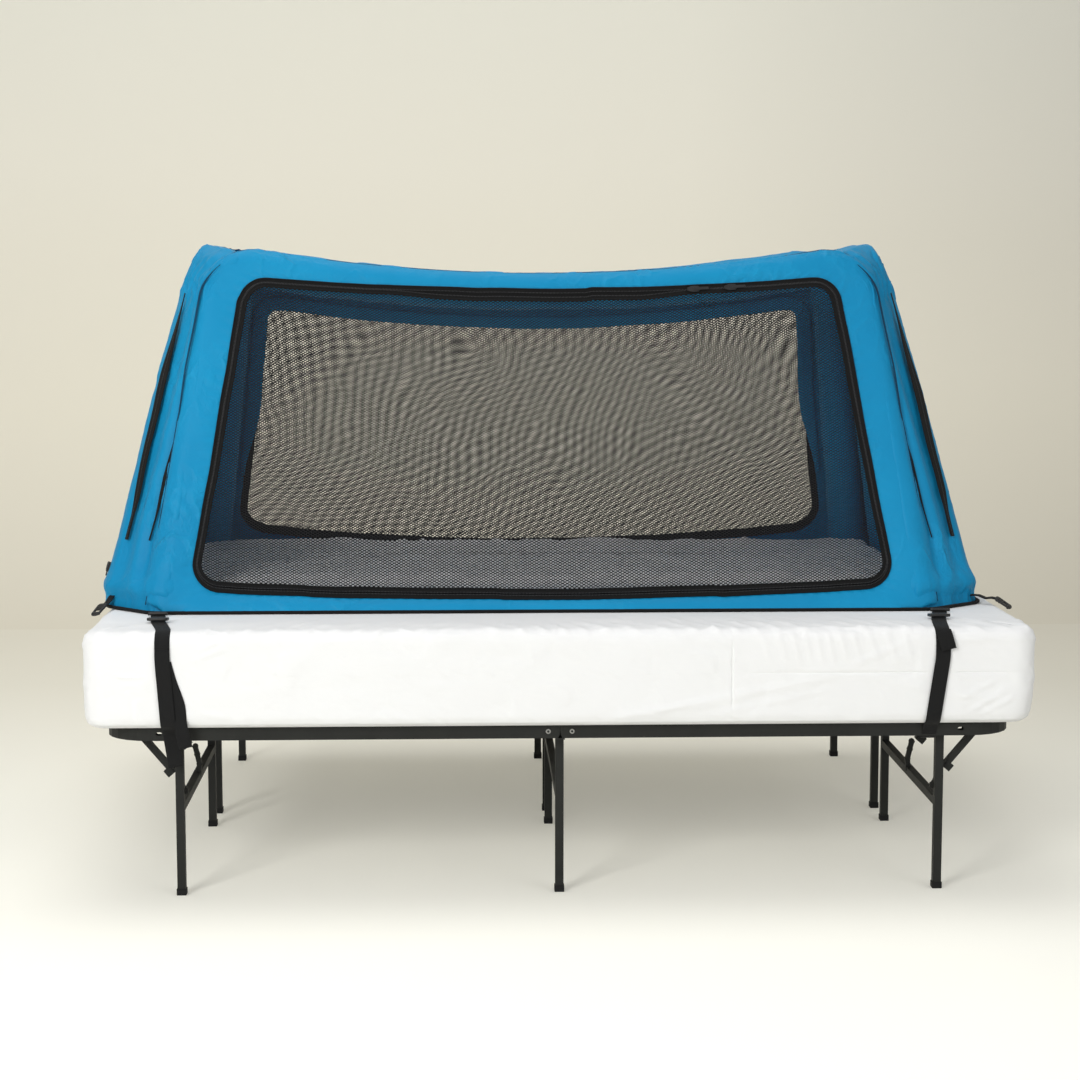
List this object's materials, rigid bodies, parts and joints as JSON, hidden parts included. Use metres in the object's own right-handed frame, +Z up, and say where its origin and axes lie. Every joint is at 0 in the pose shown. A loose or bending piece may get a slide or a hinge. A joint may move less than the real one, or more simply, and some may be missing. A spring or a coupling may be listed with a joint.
{
  "type": "inflatable travel bed",
  "caption": "Blue air-beam bed enclosure with mesh walls, strapped on a white mattress that stands on a folding black steel platform.",
  "frame": {"origin": "on the floor under the middle of the bed's outline", "axes": "+X along the bed's length, +Y away from the side with the door, +Z up"},
  "size_m": [2.08, 1.5322, 1.3976],
  "materials": {
    "black_steel": "satin",
    "black_plastic": "satin",
    "white_cover": "matte",
    "foam": "matte",
    "blue_nylon": "satin",
    "air_tube_film": "satin",
    "black_netting": "matte",
    "zip_tape": "matte",
    "black_webbing": "matte",
    "white_pad": "matte"
  },
  "bodies": {
    "root": {"back_air_tube": "air_tube_film", "back_sleeve": "blue_nylon", "base_binding": "black_webbing", "door_surround": "blue_nylon", "end_wall_left": "blue_nylon", "end_wall_right": "blue_nylon", "floor_sheet": "blue_nylon", "front_air_tube": "air_tube_film", "front_sleeve": "blue_nylon", "inner_mattress": "white_pad", "left_air_tube": "air_tube_film", "left_sleeve": "blue_nylon", "mattress_core": "foam", "mattress_cover": "white_cover", "middle_legs_front": "black_steel", "middle_legs_rear": "black_steel", "right_air_tube": "air_tube_film", "right_sleeve": "blue_nylon", "roof_mesh": "black_netting", "strap_buckle_back_left": "black_plastic", "strap_buckle_back_right": "black_plastic", "strap_buckle_front_left": "black_plastic", "strap_buckle_front_right": "black_plastic", "strap_top_back_left": "black_webbing", "strap_top_back_right": "black_webbing", "strap_top_front_left": "black_webbing", "strap_top_front_right": "black_webbing", "window_surround": "blue_nylon"},
    "deck_left": {"deck_frame_front_left": "black_steel", "deck_frame_rear_left": "black_steel", "unit_clip_left": "black_plastic", "strap_front_left": "black_webbing", "strap_back_left": "black_webbing"},
    "legs_front_left": {"end_legs_front_left": "black_steel"},
    "braces_front_left": {"brace_front_left_outer": "black_steel", "brace_front_left_middle": "black_steel", "brace_front_left_inner": "black_steel"},
    "legs_rear_left": {"end_legs_rear_left": "black_steel"},
    "braces_rear_left": {"brace_rear_left_outer": "black_steel", "brace_rear_left_middle": "black_steel", "brace_rear_left_inner": "black_steel"},
    "deck_right": {"deck_frame_front_right": "black_steel", "deck_frame_rear_right": "black_steel", "unit_clip_right": "black_plastic", "strap_front_right": "black_webbing", "strap_back_right": "black_webbing"},
    "legs_front_right": {"end_legs_front_right": "black_steel"},
    "braces_front_right": {"brace_front_right_outer": "black_steel", "brace_front_right_middle": "black_steel", "brace_front_right_inner": "black_steel"},
    "legs_rear_right": {"end_legs_rear_right": "black_steel"},
    "braces_rear_right": {"brace_rear_right_outer": "black_steel", "brace_rear_right_middle": "black_steel", "brace_rear_right_inner": "black_steel"},
    "door": {"door_zip": "zip_tape", "door_mesh": "black_netting"},
    "window": {"window_mesh": "black_netting"},
    "slider_left": {"door_slider_left": "black_plastic"},
    "slider_right": {"door_slider_right": "black_plastic"},
    "valve_lid": {"valve_cap": "black_plastic"}
  },
  "joints": [
    {"name": "deck_left_fold", "type": "hinge", "parent": "root", "child": "deck_left", "pos_m": [-0.03, 0, 0.361], "axis": [0, -1, 0], "range_deg": [0, 90]},
    {"name": "legs_front_left_fold", "type": "hinge", "parent": "deck_left", "child": "legs_front_left", "pos_m": [-0.82, -0.376, 0.352], "axis": [0, -1, 0], "range_deg": [0, 90]},
    {"name": "braces_front_left_swing", "type": "hinge", "parent": "deck_left", "child": "braces_front_left", "pos_m": [-0.908, -0.376, 0.352], "axis": [0, -1, 0], "range_deg": [0, 50]},
    {"name": "legs_rear_left_fold", "type": "hinge", "parent": "deck_left", "child": "legs_rear_left", "pos_m": [-0.82, 0.376, 0.352], "axis": [0, -1, 0], "range_deg": [0, 90]},
    {"name": "braces_rear_left_swing", "type": "hinge", "parent": "deck_left", "child": "braces_rear_left", "pos_m": [-0.908, 0.376, 0.352], "axis": [0, -1, 0], "range_deg": [0, 50]},
    {"name": "deck_right_fold", "type": "hinge", "parent": "root", "child": "deck_right", "pos_m": [0.021, 0, 0.361], "axis": [0, 1, 0], "range_deg": [0, 90]},
    {"name": "legs_front_right_fold", "type": "hinge", "parent": "deck_right", "child": "legs_front_right", "pos_m": [0.82, -0.376, 0.352], "axis": [0, 1, 0], "range_deg": [0, 90]},
    {"name": "braces_front_right_swing", "type": "hinge", "parent": "deck_right", "child": "braces_front_right", "pos_m": [0.908, -0.376, 0.352], "axis": [0, 1, 0], "range_deg": [0, 50]},
    {"name": "legs_rear_right_fold", "type": "hinge", "parent": "deck_right", "child": "legs_rear_right", "pos_m": [0.82, 0.376, 0.352], "axis": [0, 1, 0], "range_deg": [0, 90]},
    {"name": "braces_rear_right_swing", "type": "hinge", "parent": "deck_right", "child": "braces_rear_right", "pos_m": [0.908, 0.376, 0.352], "axis": [0, 1, 0], "range_deg": [0, 50]},
    {"name": "door_drop", "type": "hinge", "parent": "root", "child": "door", "pos_m": [-0.03, -0.48442, 0.63453], "axis": [1, 0, 0], "range_deg": [0, 105]},
    {"name": "window_drop", "type": "hinge", "parent": "root", "child": "window", "pos_m": [-0.03, 0.48442, 0.63453], "axis": [-1, 0, 0], "range_deg": [0, 105]},
    {"name": "slider_left_run", "type": "hinge", "parent": "door", "child": "slider_left", "pos_m": [-0.03, 2.06622, 8.59979], "axis": [0, 0.9524, -0.305], "range_deg": [0, 6.27]},
    {"name": "slider_right_run", "type": "hinge", "parent": "door", "child": "slider_right", "pos_m": [-0.03, 2.06622, 8.59979], "axis": [0, -0.9524, 0.305], "range_deg": [0, 0.746]},
    {"name": "valve_cap_flip", "type": "hinge", "parent": "root", "child": "valve_lid", "pos_m": [-1.01151, -0.34828, 0.68471], "axis": [0, 1, 0], "range_deg": [0, 120]}
  ]
}
